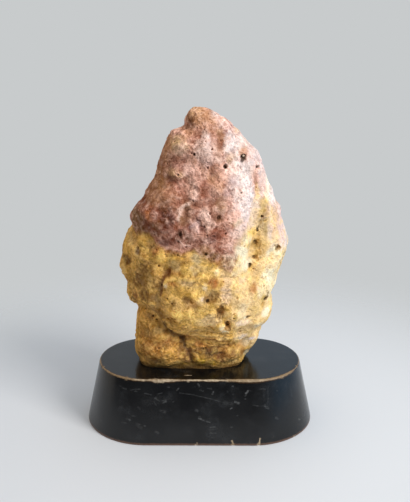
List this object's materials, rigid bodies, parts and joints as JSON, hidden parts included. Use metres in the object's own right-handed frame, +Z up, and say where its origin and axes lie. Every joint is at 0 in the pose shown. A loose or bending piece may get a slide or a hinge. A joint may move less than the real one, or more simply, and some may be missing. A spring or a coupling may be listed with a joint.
{
  "type": "scholars rock",
  "caption": "Upright pitted scholar's rock, rose above and ochre below, its foot set in the fitted socket of a low black lacquered wooden stand with round ends.",
  "frame": {"origin": "centre of the stand's underside, on the table", "axes": "+Z up, +X along the stand to the right of the rock's front, -Y towards whoever looks at the front"},
  "size_m": [0.1814, 0.1014, 0.2495],
  "materials": {
    "stone": "weathered limestone, rose above and ochre yellow below, dry and matt, with small dark solution pits",
    "lacquer": "black lacquer on wood, glossy, lightly scratched, worn through to gold brown along the top edge"
  },
  "bodies": {
    "root": {"rock": "stone", "stand": "lacquer"}
  },
  "joints": []
}
